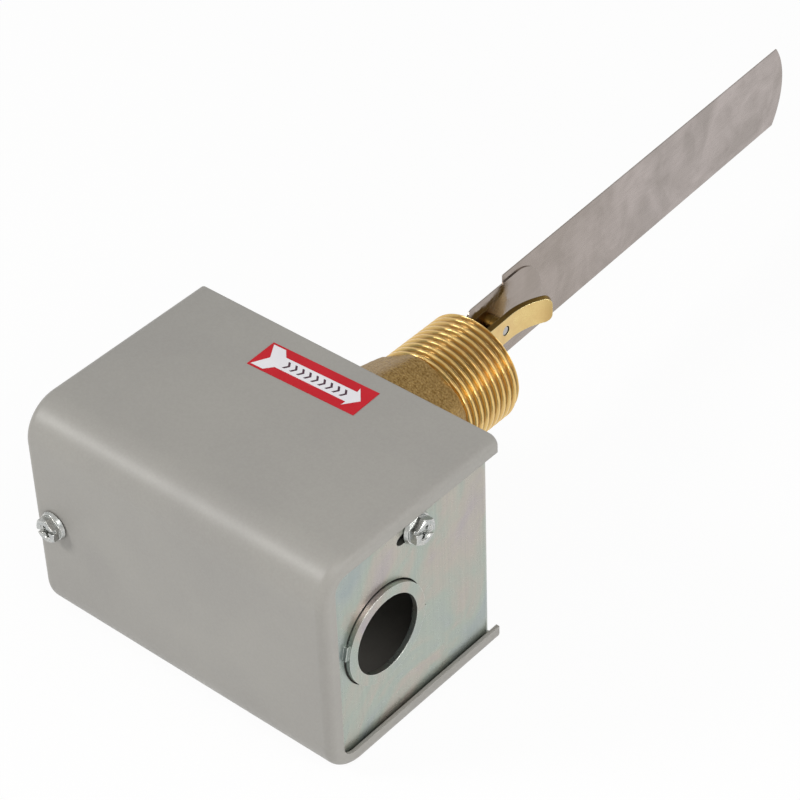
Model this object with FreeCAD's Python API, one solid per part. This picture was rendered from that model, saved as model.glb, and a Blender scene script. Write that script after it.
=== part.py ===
import FreeCAD, Part
import os
import math

os.makedirs("parts", exist_ok=True)

# Paddle flow switch. Millimetres. The origin is on the pipe fitting's axis, at the shoulder where its
# thread begins. +Y runs out of the fitting towards the paddle's tip, +X is the way the water flows and
# +Z leaves the labelled side of the cover. The paddle swings about a pin that lies along Z.
Vec = FreeCAD.Vector
xDir = Vec(1, 0, 0)
yDir = Vec(0, 1, 0)
zDir = Vec(0, 0, 1)

# ---- clearances
runningGap = 0.05          # radial, between a turning piece and its pin
bodyGap = 0.3              # between curved or moving faces of different bodies
screwGap = 0.15            # radial, round a screw in a plain hole

# ---- cover: a U of painted sheet, open at both ends and at the back
coverLength = 100.0        # along X
coverDepth = 65.0          # along Y
coverHeight = 68.5         # along Z
coverSheet = 1.0
coverMidX = -2.0
coverBackY = -24.5
coverBottomZ = -36.0
coverBend = 11.0           # outer radius of the two long bends
lipHeight = 4.8            # in-turned lip round each open end
lipFold = 2.5
lipCorner = 4.0

coverLowX = coverMidX - coverLength / 2
coverHighX = coverMidX + coverLength / 2
coverFrontY = coverBackY - coverDepth
coverTopZ = coverBottomZ + coverHeight
coverMidZ = coverBottomZ + coverHeight / 2

# ---- label stuck on the top of the cover
labelLength = 34.5
labelWidth = 10.5
labelThick = 0.12
labelAside = -0.4          # of the label's middle from the cover's middle
labelInset = 11.0          # of the label's middle from the back edge
labelTurn = 2.0            # degrees, it is set by hand and lies a little askew
labelMidX = coverMidX + labelAside
labelMidY = coverBackY - labelInset

# ---- chassis: a U of zinc-plated sheet inside the cover
plateSheet = 1.5
plateRecess = 1.6          # of each end plate behind the cover's open end
baseRecess = 1.3           # of the base plate behind the cover's back edge
plateMarginZ = 0.4
plateCorner = 10.0
plateBend = 2.5
baseOutY = coverBackY - baseRecess
baseInY = baseOutY - plateSheet
plateLowX = coverLowX + plateRecess
plateHighX = coverHighX - plateRecess
plateFrontY = coverFrontY + coverSheet + 0.5
plateLowZ = coverBottomZ + coverSheet + plateMarginZ
plateHighZ = coverTopZ - coverSheet - plateMarginZ
tabReach = 13.0            # return tab that takes the cover screw
tabHalfHeight = 9.0
tabRise = -2.3
tabBend = 1.2

# ---- conduit knockout in the +X end plate
conduitRadius = 11.1
conduitInset = 22.5        # from the cover's front face
conduitY = coverFrontY + conduitInset
conduitZ = coverMidZ
ringRadius = 14.0
ringCut = 0.4              # sheared gap round the ring
ringTabWidth = 4.0
ringTabAngle = 166.0

# ---- hex washer screws
headAcross = 7.9
headHeight = 2.6
washerRadius = 5.2
washerThick = 0.9
screwRadius = 2.0
driveSlot = 1.1
driveDepth = 1.2
coverScrewInset = 7.4
coverScrewX = coverLowX + coverScrewInset
coverScrewZ = tabRise
coverScrewLength = 7.0
endScrewInset = 37.4
endScrewDrop = 11.9
endScrewY = coverFrontY + endScrewInset
endScrewZ = coverTopZ - endScrewDrop
endScrewLength = 9.0
endSlotHalf = 3.6          # half the width of the slot that the end screw stands in
endSlotReach = 6.2
groundInset = 14.4
groundRise = 14.6
groundX = plateHighX - groundInset
groundZ = plateLowZ + groundRise
groundLength = 2.6

# ---- pipe fitting, one brass casting
threadRadius = 16.6
threadLength = 25.0
nippleChamfer = 0.8
hexAcross = 37.0
neckAcross = 32.0
neckStartY = -14.0
gasketThick = 1.0
gasketRadius = 20.0
hexBaseY = baseOutY + gasketThick
wetBore = 13.0
wetBoreEndY = -10.0
dryBore = 8.5
spigotRadius = 13.0
spigotEndY = -41.0
toothedThick = 1.0
toothedRadius = 17.0
nutThick = 5.0
nutAcross = 34.0

# ---- lever: brass hub, brass paddle arm outside, steel switch arm inside
pivotY = -37.0
pinRadius = 2.0
pinHalfLength = 14.6
clipRadius = 3.4
clipThick = 0.6
leanAngle = 2.5            # at rest the paddle leans upstream by this much
hubRadius = 4.0
hubHalfX = 4.0
hubHalfZ = 4.8
hubBackY = -47.0
hubBlockEndY = -33.0
hubFrontY = 19.0
hubSlotY = 11.0
collarRadius = 7.5
collarThick = 2.0
armThick = 1.8
armWidth = 8.0
slotGap = 0.05
hornStartY = 44.0
hornRadius = 20.0
hornAngle = 40.0
hornCorner = 2.4
rivetRadius = 1.2
rivetHeadRadius = 2.0
rivetHead = 0.6
frontRivetY = 15.0
backRivetY = -44.5
switchArmThick = 2.0
switchArmWidth = 7.0
switchArmEndY = -66.0
switchArmRootY = -42.0

# ---- paddles, spacers and their screws
paddleScrewY = (33.0, 41.6)
spacerLength = 2.5
spacerRadius = 2.8
paddleThick = 0.4
shortRootY = 30.1
shortHalfWidth = 11.5
shortEndY = 64.0
shortCorner = 2.0
longNeckHalf = 9.0
longShoulderY = 46.7
longHalfWidth = 13.7
longTipY = 190.4
longTipRadius = 23.0
longNeckCorner = 2.5
paddleScrewRadius = 1.45
paddleHoleRadius = 1.6
paddleHeadRadius = 2.8
paddleHead = 1.9
paddleWasherRadius = 3.3
paddleWasher = 0.6

# ---- bellows that seals the lever
bellowsOuter = 9.6
bellowsInner = 7.4
bellowsWall = 0.35
bellowsFolds = 5
bellowsFlange = 12.7
bellowsFlangeThick = 1.0
bellowsEndY = 6.6

# ---- mechanism bracket
shelfThick = 1.6
shelfTopZ = -5.15
shelfLowX = -37.0
shelfHighX = 6.0
shelfFrontGap = 0.5        # behind the return tab
shelfFrontY = plateFrontY + plateSheet + shelfFrontGap
shelfBackY = -43.0
legHighX = -23.5
footLowZ = -27.0
footScrewX = -30.2
footScrewZ = (-12.5, -21.5)
earX = -34.2
earLowY = -58.5
earHighY = -47.5
earTopZ = 6.0
panRadius = 3.4
panHeight = 2.2
panShank = 1.8

# ---- snap switch
caseFaceX = -9.6
caseDepth = 16.0
caseFrontGap = 0.2
caseLength = 27.0
caseFrontY = shelfFrontY + caseFrontGap
caseHalfThick = 5.15
caseHoleInset = 2.9
caseHoleRadius = 1.6
caseHeadRadius = 2.7
caseHead = 1.8
plungerInset = 11.8
plungerY = caseFrontY + plungerInset
plungerRadius = 1.3
plungerTipX = -5.3
plungerRoot = 3.0
terminalPitch = 9.6
terminalInset = 4.2
terminalWidth = 6.3
terminalReach = 9.5
terminalThick = 1.0
terminalScrewInset = 4.6
terminalHeadRadius = 2.8
terminalHead = 2.0
terminalShank = 1.6

# ---- rocker between the switch arm and the plunger
rockerPinX = -4.0
rockerPinInset = 3.8
rockerPinY = caseFrontY + rockerPinInset
rockerPinRadius = 1.5
rockerPinTopZ = 5.2
rockerThick = 2.0
rockerHalfWidth = 3.5
rockerHubRadius = 3.0
rockerEndY = -61.6
noseX = -2.0
noseY = -63.5
noseRadius = 1.8

# ---- range spring, screw and nut
springY = -53.0
springWire = 0.8
springMeanRadius = 3.9
springTurns = 9.0
springCupRadius = 4.8
springCupThick = 1.6
springCupRim = 1.2
springCupSlack = 0.15      # radial, round the spring in its cup
rangeNutHalf = 4.85
rangeNutThick = 3.0
rangeNutX = -24.0
rangeScrewTipX = -10.0
rangeHeadAcross = 7.0
rangeHead = 3.0

# ---- insulating liner behind the end plate
linerThick = 0.8
linerFrontGap = 7.5
linerBackGap = 6.7
linerBelowScrew = 9.1
linerTopGap = 2.5
linerLowY = coverFrontY + linerFrontGap
linerHighY = baseInY - linerBackGap
linerLowZ = endScrewZ - linerBelowScrew
linerTopZ = coverTopZ - linerTopGap
linerReachX = 12.0
linerNutHalf = 3.6
linerNutThick = 3.0


def block(low, high):
    """Box between two corners."""
    size = Vec(*high) - Vec(*low)
    return Part.makeBox(size.x, size.y, size.z, Vec(*low))


def rod(radius, start, end):
    """Cylinder from one point to another."""
    low = Vec(*start)
    run = Vec(*end) - low
    return Part.makeCylinder(radius, run.Length, low, run)


def prism(across, start, end, turn=0.0):
    """Hexagonal bar; with no turn, two corners point along Z."""
    low = Vec(*start)
    run = Vec(*end) - low
    corner = across / math.sqrt(3)
    ring = hexWire(corner, turn)
    bar = Part.Face(ring).extrude(Vec(0, 0, run.Length))
    return aimed(bar, low, run)


def hexWire(corner, turn=0.0):
    """Closed hexagon in the XY plane with its first corner on Y."""
    points = []
    for step in range(7):
        angle = math.radians(90 + turn + 60 * step)
        points.append(Vec(corner * math.cos(angle), corner * math.sin(angle), 0))
    return Part.makePolygon(points)


def aimed(shape, base, direction):
    """Takes a shape built up Z and stands it on a point, along a direction."""
    spin = FreeCAD.Rotation(zDir, Vec(direction))
    moved = shape.copy()
    moved.Placement = FreeCAD.Placement(Vec(base), spin).multiply(moved.Placement)
    return moved


def outline(points):
    """Face inside a closed run of (x, y, z) corners."""
    corners = [Vec(*point) for point in points]
    return Part.Face(Part.makePolygon(corners + corners[:1]))


def rounded(shape, radius, wanted):
    """Fillets the edges that a test picks."""
    return shape.makeFillet(radius, [edge for edge in shape.Edges if wanted(edge)])


def alongAxis(edge, direction):
    """True for a straight edge parallel to a direction."""
    if not isinstance(edge.Curve, Part.Line):
        return False
    tangent = edge.tangentAt(edge.FirstParameter)
    return abs(abs(tangent.dot(direction)) - 1) < 1e-6


def hexWasherScrew(base, out, length, radius=screwRadius):
    """Slotted hex washer screw whose washer sits on base and whose head points out."""
    shank = Part.makeCylinder(radius, length, Vec(0, 0, -length))
    washer = Part.makeCylinder(washerRadius, washerThick)
    corner = headAcross / math.sqrt(3)
    head = Part.Face(hexWire(corner)).extrude(Vec(0, 0, headHeight))
    head.translate(Vec(0, 0, washerThick))
    top = washerThick + headHeight
    slot = block((-corner, -driveSlot / 2, top - driveDepth), (corner, driveSlot / 2, top + 1))
    screw = shank.fuse([washer, head]).cut(slot)
    return aimed(screw, Vec(*base), out)


def panScrew(base, out, length, radius, headRadius, headTall):
    """Slotted cheese head screw seated on base."""
    shank = Part.makeCylinder(radius, length, Vec(0, 0, -length))
    head = Part.makeCylinder(headRadius, headTall)
    slotLow = headTall * 0.5
    slotHalf = radius * 0.25
    slot = block((-headRadius, -slotHalf, slotLow), (headRadius, slotHalf, headTall + 1))
    return aimed(shank.fuse(head).cut(slot), Vec(*base), out)


def leaned(shape):
    """Turns a piece of the lever about the pivot pin to its rest position."""
    turned = shape.copy()
    turned.rotate(Vec(0, pivotY, 0), zDir, leanAngle)
    return turned


def save(node, *shapes):
    """Writes one node as STEP."""
    whole = shapes[0] if len(shapes) == 1 else Part.makeCompound(list(shapes))
    whole.exportStep("parts/" + node + ".step")


# ---- cover
def foldedBlock(inset):
    """The cover's outer form, or with an inset its inside. It runs on past the back edge."""
    overrun = 20.0
    low = (coverLowX + inset, coverFrontY + inset, coverBottomZ + inset)
    high = (coverHighX - inset, coverBackY + overrun, coverTopZ - inset)
    body = block(low, high)

    def longFrontEdge(edge):
        return alongAxis(edge, xDir) and edge.CenterOfMass.y < coverFrontY + inset + 1

    body = rounded(body, coverBend - inset, longFrontEdge)

    def endEdge(edge):
        box = edge.BoundBox
        flat = box.XLength < 1e-6
        return flat and box.YMin < coverBackY and abs(box.YMin - coverBackY - overrun) > 1

    return rounded(body, lipFold - inset, endEdge)


def makeCover():
    shell = foldedBlock(0.0).cut(foldedBlock(coverSheet))
    mouth = block(
        (coverLowX - 1, coverFrontY + lipHeight, coverBottomZ + lipHeight),
        (coverHighX + 1, coverBackY + 30, coverTopZ - lipHeight),
    )
    mouth = rounded(
        mouth, lipCorner,
        lambda edge: alongAxis(edge, xDir) and edge.CenterOfMass.y < coverBackY,
    )
    behind = block(
        (coverLowX - 5, coverBackY, coverBottomZ - 5),
        (coverHighX + 5, coverBackY + 40, coverTopZ + 5),
    )
    hole = rod(
        screwRadius + screwGap,
        (coverScrewX, coverFrontY - 2, coverScrewZ),
        (coverScrewX, coverFrontY + 4, coverScrewZ),
    )
    return shell.cut([mouth, behind, hole])


save("cover", makeCover())
save("cover_screw", hexWasherScrew((coverScrewX, coverFrontY, coverScrewZ), -yDir, coverScrewLength))

label = block(
    (-labelLength / 2, -labelWidth / 2, 0),
    (labelLength / 2, labelWidth / 2, labelThick),
)
label.rotate(Vec(0, 0, 0), zDir, labelTurn)
label.translate(Vec(labelMidX, labelMidY, coverTopZ))
save("flow_label", label)


# ---- chassis
def makeChassis():
    outer = block((plateLowX, plateFrontY, plateLowZ), (plateHighX, baseOutY, plateHighZ))
    outer = rounded(
        outer, plateBend,
        lambda edge: alongAxis(edge, zDir) and edge.CenterOfMass.y > baseInY,
    )
    inner = block(
        (plateLowX + plateSheet, plateFrontY - 5, plateLowZ - 1),
        (plateHighX - plateSheet, baseInY, plateHighZ + 1),
    )
    inner = rounded(
        inner, plateBend - plateSheet,
        lambda edge: alongAxis(edge, zDir) and edge.CenterOfMass.y > baseInY - 1,
    )
    pan = outer.cut(inner)
    pan = rounded(
        pan, plateCorner,
        lambda edge: alongAxis(edge, xDir) and edge.CenterOfMass.y < plateFrontY + 1,
    )
    tab = block(
        (plateLowX, plateFrontY, tabRise - tabHalfHeight),
        (plateLowX + tabReach, plateFrontY + plateSheet, tabRise + tabHalfHeight),
    )
    tab = rounded(
        tab, tabBend,
        lambda edge: alongAxis(edge, zDir) and edge.CenterOfMass.x < plateLowX + 1
        and edge.CenterOfMass.y < plateFrontY + 0.1,
    )
    pan = pan.fuse(tab)
    holes = [
        rod(spigotRadius + screwGap, (0, baseInY - 1, 0), (0, baseOutY + 1, 0)),
        rod(
            ringRadius + ringCut,
            (plateHighX - plateSheet - 1, conduitY, conduitZ),
            (plateHighX + 1, conduitY, conduitZ),
        ),
        rod(
            screwRadius + screwGap,
            (coverScrewX, plateFrontY - 1, coverScrewZ),
            (coverScrewX, plateFrontY + plateSheet + 1, coverScrewZ),
        ),
        rod(screwRadius + screwGap, (groundX, baseInY - 1, groundZ), (groundX, baseOutY + 1, groundZ)),
        endSlot(),
    ]
    for screwZ in footScrewZ:
        start = (footScrewX, baseInY - 1, screwZ)
        holes.append(rod(panShank + screwGap, start, (footScrewX, baseOutY + 1, screwZ)))
    pan = pan.cut(holes)
    return pan.fuse([knockoutRing()] + knockoutTabs()).removeSplitter()


def endSlot():
    """Slot along Y in the +X end plate, with its +Y end round the end screw."""
    low = plateHighX - plateSheet - 1
    high = plateHighX + 1
    nearY = endScrewY - endSlotReach
    slot = block((low, nearY, endScrewZ - endSlotHalf), (high, endScrewY, endScrewZ + endSlotHalf))
    ends = [rod(endSlotHalf, (low, y, endScrewZ), (high, y, endScrewZ)) for y in (nearY, endScrewY)]
    return slot.fuse(ends)


def knockoutRing():
    """The ring left when the middle slug is struck out, standing proud on its two tabs."""
    start = plateHighX
    end = start + plateSheet
    disc = rod(ringRadius, (start, conduitY, conduitZ), (end, conduitY, conduitZ))
    hole = rod(conduitRadius, (start - 1, conduitY, conduitZ), (end + 1, conduitY, conduitZ))
    return disc.cut(hole)


def knockoutTabs():
    tabs = []
    for turn in (ringTabAngle, ringTabAngle - 180):
        tab = block(
            (plateHighX - plateSheet, ringRadius - 1.2, -ringTabWidth / 2),
            (plateHighX + plateSheet * 0.7, ringRadius + ringCut + 0.6, ringTabWidth / 2),
        )
        tab.rotate(Vec(0, 0, 0), xDir, turn)
        tab.translate(Vec(0, conduitY, conduitZ))
        tabs.append(tab)
    return tabs


save("chassis", makeChassis())
save("end_screw", hexWasherScrew((plateHighX, endScrewY, endScrewZ), xDir, endScrewLength))
groundScrew = hexWasherScrew((groundX, baseInY, groundZ), -yDir, groundLength)
save("ground_screw", groundScrew)


# ---- insulating liner and its nut
def makeLiner():
    wallX = plateHighX - plateSheet
    wall = block((wallX - linerThick, linerLowY, linerLowZ), (wallX, linerHighY, linerTopZ))
    flap = block((linerReachX, linerLowY, linerTopZ - linerThick), (wallX, linerHighY, linerTopZ))
    hole = rod(
        screwRadius + screwGap,
        (wallX - linerThick - 1, endScrewY, endScrewZ),
        (wallX + 1, endScrewY, endScrewZ),
    )
    return wall.fuse(flap).cut(hole)


save("insulating_liner", makeLiner())
linerNutHighX = plateHighX - plateSheet - linerThick
linerNut = block(
    (linerNutHighX - linerNutThick, endScrewY - linerNutHalf, endScrewZ - linerNutHalf),
    (linerNutHighX, endScrewY + linerNutHalf, endScrewZ + linerNutHalf),
)
linerNut = linerNut.cut(
    rod(
        screwRadius + runningGap,
        (linerNutHighX - linerNutThick - 1, endScrewY, endScrewZ),
        (linerNutHighX + 1, endScrewY, endScrewZ),
    )
)
save("end_nut", linerNut)


# ---- pipe fitting
def makeFitting():
    hexBody = prism(hexAcross, (0, hexBaseY, 0), (0, neckStartY, 0))
    wide = aimed(hexWire(hexAcross / math.sqrt(3)), Vec(0, neckStartY, 0), yDir)
    narrow = aimed(hexWire(neckAcross / math.sqrt(3)), Vec(0, 0, 0), yDir)
    neck = Part.makeLoft([wide, narrow], True, True)
    nipple = rod(threadRadius, (0, 0, 0), (0, threadLength, 0))
    spigot = rod(spigotRadius, (0, spigotEndY, 0), (0, hexBaseY + 1, 0))
    body = hexBody.fuse([neck, nipple, spigot])
    wet = rod(wetBore, (0, wetBoreEndY, 0), (0, threadLength + 1, 0))
    dry = rod(dryBore, (0, spigotEndY - 1, 0), (0, wetBoreEndY + 1, 0))
    pinHole = rod(pinRadius + runningGap / 2, (0, pivotY, -20), (0, pivotY, 20))
    body = body.cut([wet, dry, pinHole])
    return body.makeChamfer(
        nippleChamfer,
        [edge for edge in body.Edges if isinstance(edge.Curve, Part.Circle)
         and abs(edge.CenterOfMass.y - threadLength) < 1e-3],
    )


save("fitting", makeFitting())


def ringOnY(outer, inner, startY, endY):
    """Flat ring round the fitting's axis."""
    disc = rod(outer, (0, startY, 0), (0, endY, 0))
    return disc.cut(rod(inner, (0, startY - 1, 0), (0, endY + 1, 0)))


save("seat_gasket", ringOnY(gasketRadius, spigotRadius + screwGap, baseOutY, hexBaseY))
toothedBackY = baseInY - toothedThick
save("toothed_washer", ringOnY(toothedRadius, spigotRadius + screwGap, toothedBackY, baseInY))
clampNut = prism(nutAcross, (0, toothedBackY, 0), (0, toothedBackY - nutThick, 0))
clampNut = clampNut.cut(rod(spigotRadius + runningGap, (0, -60, 0), (0, 0, 0)))
save("fitting_nut", clampNut)

save("pivot_pin", rod(pinRadius, (0, pivotY, -pinHalfLength), (0, pivotY, pinHalfLength)))
clips = []
for side in (-1, 1):
    near = side * (spigotRadius + 0.1)
    far = side * (spigotRadius + 0.1 + clipThick)
    clip = rod(clipRadius, (0, pivotY, near), (0, pivotY, far))
    clips.append(clip.cut(rod(pinRadius + runningGap / 2, (0, pivotY, near * 0.9), (0, pivotY, far * 1.1))))
save("pivot_clips", *clips)


# ---- bellows, folded as a zigzag wall turned round the axis
def makeBellows():
    startY = wetBoreEndY + bellowsFlangeThick
    fold = (bellowsEndY - startY) / bellowsFolds
    outer = []
    inner = []
    for step in range(bellowsFolds):
        foldY = startY + fold * step
        outer += [(bellowsInner, foldY), (bellowsOuter, foldY + fold / 2)]
        inner += [(bellowsInner - bellowsWall, foldY), (bellowsOuter - bellowsWall, foldY + fold / 2)]
    outer.append((bellowsInner, bellowsEndY))
    inner.append((bellowsInner - bellowsWall, bellowsEndY))
    ring = [(bellowsInner - bellowsWall, wetBoreEndY), (bellowsFlange, wetBoreEndY), (bellowsFlange, startY)]
    profile = ring + outer + inner[::-1]
    face = outline([(radius, y, 0) for radius, y in profile])
    return face.revolve(Vec(0, 0, 0), yDir, 360)


save("bellows", makeBellows())


# ---- lever hub
def makeHub():
    shaft = rod(hubRadius, (0, hubBlockEndY - 1, 0), (0, hubFrontY, 0))
    heel = block((-hubHalfX, hubBackY, -hubHalfZ), (hubHalfX, hubBlockEndY, hubHalfZ))
    heel = rounded(heel, 2.0, lambda edge: alongAxis(edge, yDir))
    collarY = bellowsEndY + bodyGap * 2
    collar = rod(collarRadius, (0, collarY, 0), (0, collarY + collarThick, 0))
    frontHalf = armThick / 2 + slotGap
    frontSlot = block((-frontHalf, hubSlotY, -10), (frontHalf, hubFrontY + 1, 10))
    backHalf = switchArmThick / 2 + slotGap
    backSlot = block((-backHalf, hubBackY - 1, -10), (backHalf, switchArmRootY, 10))
    cuts = [
        frontSlot,
        backSlot,
        rod(pinRadius + runningGap, (0, pivotY, -10), (0, pivotY, 10)),
        rod(rivetRadius + slotGap, (-10, frontRivetY, 0), (10, frontRivetY, 0)),
        rod(rivetRadius + slotGap, (-10, backRivetY, 0), (10, backRivetY, 0)),
    ]
    return shaft.fuse([heel, collar]).cut(cuts)


save("lever_hub", leaned(makeHub()))


# ---- paddle arm with its curved horn, which backs the paddle when the flow bends it
def makeArm():
    """Flat strip whose outer end curls away from the paddle as an arc."""
    half = armThick / 2
    rootY = hubSlotY + slotGap
    centre = Vec(half + hornRadius, hornStartY, -armWidth / 2)
    wide = hornRadius + armThick

    def onArc(radius, degrees):
        angle = math.radians(degrees)
        return centre + Vec(-radius * math.cos(angle), radius * math.sin(angle), 0)

    rootLow = Vec(-half, rootY, -armWidth / 2)
    rootHigh = Vec(half, rootY, -armWidth / 2)
    edges = [
        Part.LineSegment(rootLow, rootHigh),
        Part.LineSegment(rootHigh, onArc(hornRadius, 0)),
        Part.Arc(onArc(hornRadius, 0), onArc(hornRadius, hornAngle / 2), onArc(hornRadius, hornAngle)),
        Part.LineSegment(onArc(hornRadius, hornAngle), onArc(wide, hornAngle)),
        Part.Arc(onArc(wide, hornAngle), onArc(wide, hornAngle / 2), onArc(wide, 0)),
        Part.LineSegment(onArc(wide, 0), rootLow),
    ]
    profile = Part.Wire([edge.toShape() for edge in edges])
    strip = Part.Face(profile).extrude(Vec(0, 0, armWidth))
    tip = onArc((hornRadius + wide) / 2, hornAngle)
    strip = rounded(strip, hornCorner, lambda edge: edgeAcrossTip(edge, tip.x, tip.y))
    cuts = [rod(rivetRadius + slotGap, (-10, frontRivetY, 0), (10, frontRivetY, 0))]
    for y in paddleScrewY:
        cuts.append(rod(paddleScrewRadius + slotGap, (-10, y, 0), (10, y, 0)))
    return strip.cut(cuts)


def edgeAcrossTip(edge, tipX, tipY):
    """The two edges through the thickness at the horn's free end."""
    centre = edge.CenterOfMass
    short = abs(edge.Length - armThick) < 0.01
    return short and abs(centre.x - tipX) < 0.5 and centre.y > tipY - 1.5 and abs(centre.z) > 1


save("paddle_arm", leaned(makeArm()))


def makeRivet(y, halfGrip):
    """Rivet through the hub along X."""
    pin = rod(rivetRadius, (-halfGrip, y, 0), (halfGrip, y, 0))
    heads = [
        rod(rivetHeadRadius, (side * halfGrip, y, 0), (side * (halfGrip + rivetHead), y, 0))
        for side in (-1, 1)
    ]
    return pin.fuse(heads)


save("arm_rivets", leaned(makeRivet(frontRivetY, hubRadius)), leaned(makeRivet(backRivetY, hubHalfX)))


# ---- switch arm and spring cup
def makeSwitchArm():
    half = switchArmThick / 2
    bar = block((-half, switchArmEndY, -switchArmWidth / 2), (half, switchArmRootY - slotGap, switchArmWidth / 2))
    hole = rod(rivetRadius + slotGap, (-10, backRivetY, 0), (10, backRivetY, 0))
    return bar.cut(hole)


def makeSpringCup():
    start = -switchArmThick / 2
    end = start - springCupThick
    disc = rod(springCupRadius, (start, springY, 0), (end, springY, 0))
    rim = rod(springCupRadius, (end, springY, 0), (end - springCupRim, springY, 0))
    wellRadius = springMeanRadius + springWire / 2 + springCupSlack
    well = rod(wellRadius, (end, springY, 0), (end - springCupRim - 1, springY, 0))
    return disc.fuse(rim.cut(well))


save("switch_arm", leaned(makeSwitchArm()))
save("spring_cup", leaned(makeSpringCup()))

# ---- paddles: X positions step back from the arm
shortFaceX = -armThick / 2 - spacerLength
longFaceX = shortFaceX - paddleThick
washerFaceX = longFaceX - paddleThick
headFaceX = washerFaceX - paddleWasher


def sheetPiece(points, faceX):
    """Flat sheet in the YZ plane, its +X face at faceX."""
    face = outline([(faceX, y, z) for y, z in points])
    sheet = face.extrude(Vec(-paddleThick, 0, 0))
    holes = [rod(paddleHoleRadius, (faceX - 2, y, 0), (faceX + 2, y, 0)) for y in paddleScrewY]
    return sheet.cut(holes)


def makeShortPaddle():
    centreY = shortEndY - shortHalfWidth
    plain = sheetPiece(
        [(shortRootY, -shortHalfWidth), (centreY, -shortHalfWidth),
         (centreY, shortHalfWidth), (shortRootY, shortHalfWidth)],
        shortFaceX,
    )
    plain = rounded(
        plain, shortCorner,
        lambda edge: alongAxis(edge, xDir) and edge.CenterOfMass.y < shortRootY + 0.1,
    )
    nose = rod(shortHalfWidth, (shortFaceX, centreY, 0), (shortFaceX - paddleThick, centreY, 0))
    return plain.fuse(nose.cut(block((-20, centreY - 30, -20), (20, centreY, 20)))).removeSplitter()


def makeLongPaddle():
    neck = sheetPiece(
        [(shortRootY + 0.6, -longNeckHalf), (longShoulderY + 2, -longNeckHalf),
         (longShoulderY + 2, longNeckHalf), (shortRootY + 0.6, longNeckHalf)],
        longFaceX,
    )
    neck = rounded(
        neck, longNeckCorner,
        lambda edge: alongAxis(edge, xDir) and edge.CenterOfMass.y < shortRootY + 1,
    )
    blade = sheetPiece(
        [(longShoulderY, -longHalfWidth), (longTipY, -longHalfWidth),
         (longTipY, longHalfWidth), (longShoulderY, longHalfWidth)],
        longFaceX,
    )
    tip = rod(longTipRadius, (longFaceX + 1, 0, 0), (longFaceX - 2, 0, 0))
    tip.translate(Vec(0, longTipY - longTipRadius, 0))
    rest = block((-20, -20, -20), (20, longTipY - longTipRadius, 20))
    return neck.fuse(blade.common(tip.fuse(rest))).removeSplitter()


save("short_paddle", leaned(makeShortPaddle()))
save("long_paddle", leaned(makeLongPaddle()))


def ringOnX(outer, inner, startX, endX, y):
    disc = rod(outer, (startX, y, 0), (endX, y, 0))
    return disc.cut(rod(inner, (startX + 1, y, 0), (endX - 1, y, 0)))


spacers = []
washers = []
paddleScrews = []
for y in paddleScrewY:
    spacers.append(leaned(ringOnX(spacerRadius, paddleHoleRadius, -armThick / 2, shortFaceX, y)))
    washers.append(leaned(ringOnX(paddleWasherRadius, paddleHoleRadius, washerFaceX, headFaceX, y)))
    reach = armThick / 2 - headFaceX
    screw = panScrew((headFaceX, y, 0), -xDir, reach, paddleScrewRadius, paddleHeadRadius, paddleHead)
    paddleScrews.append(leaned(screw))
save("paddle_spacers", *spacers)
save("paddle_washers", *washers)
save("paddle_screws", *paddleScrews)


# ---- mechanism bracket
def makeBracket():
    shelfLowZ = shelfTopZ - shelfThick
    shelf = block((shelfLowX, shelfFrontY, shelfLowZ), (shelfHighX, shelfBackY, shelfTopZ))
    leg = block((shelfLowX, shelfBackY - 1, shelfLowZ), (legHighX, baseInY, shelfTopZ))
    foot = block((shelfLowX, baseInY - shelfThick, footLowZ), (legHighX, baseInY, shelfTopZ))
    ear = block((earX - shelfThick, earLowY, shelfLowZ), (earX, earHighY, earTopZ))
    ear = rounded(ear, 2.5, lambda edge: alongAxis(edge, xDir) and edge.CenterOfMass.z > earTopZ - 1)
    holes = [
        rod(rockerPinRadius + slotGap, (rockerPinX, rockerPinY, -20), (rockerPinX, rockerPinY, 0)),
        rod(screwRadius + runningGap, (-50, springY, 0), (earX + 1, springY, 0)),
    ]
    for z in footScrewZ:
        start = (footScrewX, baseInY - shelfThick - 1, z)
        holes.append(rod(panShank + screwGap, start, (footScrewX, baseInY + 1, z)))
    for x, y in caseScrewPlaces():
        holes.append(rod(caseHoleRadius, (x, y, -20), (x, y, 0)))
    return shelf.fuse([leg, foot, ear]).cut(holes)


def caseScrewPlaces():
    """Two screws through the switch case, at opposite corners."""
    lowX = caseFaceX - caseDepth
    return (
        (lowX + caseHoleInset, caseFrontY + caseHoleInset),
        (caseFaceX - caseHoleInset, caseFrontY + caseLength - caseHoleInset),
    )


save("mechanism_bracket", makeBracket())
footScrews = [
    panScrew(
        (footScrewX, baseInY - shelfThick, z), -yDir, shelfThick + plateSheet + 0.6,
        panShank, panRadius, panHeight,
    )
    for z in footScrewZ
]
save("bracket_screws", *footScrews)


# ---- snap switch
def makeCase():
    backX = caseFaceX - caseDepth
    body = block(
        (backX, caseFrontY, -caseHalfThick),
        (caseFaceX, caseFrontY + caseLength, caseHalfThick),
    )
    body = rounded(body, 1.5, lambda edge: alongAxis(edge, zDir))
    cuts = [
        rod(plungerRadius + bodyGap / 3, (caseFaceX - plungerRoot - 3, plungerY, 0), (0, plungerY, 0)),
    ]
    for x, y in caseScrewPlaces():
        cuts.append(rod(caseHoleRadius, (x, y, -10), (x, y, 10)))
    return body.cut(cuts)


save("switch_case", makeCase())
caseScrews = [
    panScrew(
        (x, y, caseHalfThick), zDir, 2 * caseHalfThick + shelfThick + 0.6,
        caseHoleRadius - screwGap, caseHeadRadius, caseHead,
    )
    for x, y in caseScrewPlaces()
]
save("switch_screws", *caseScrews)

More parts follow.
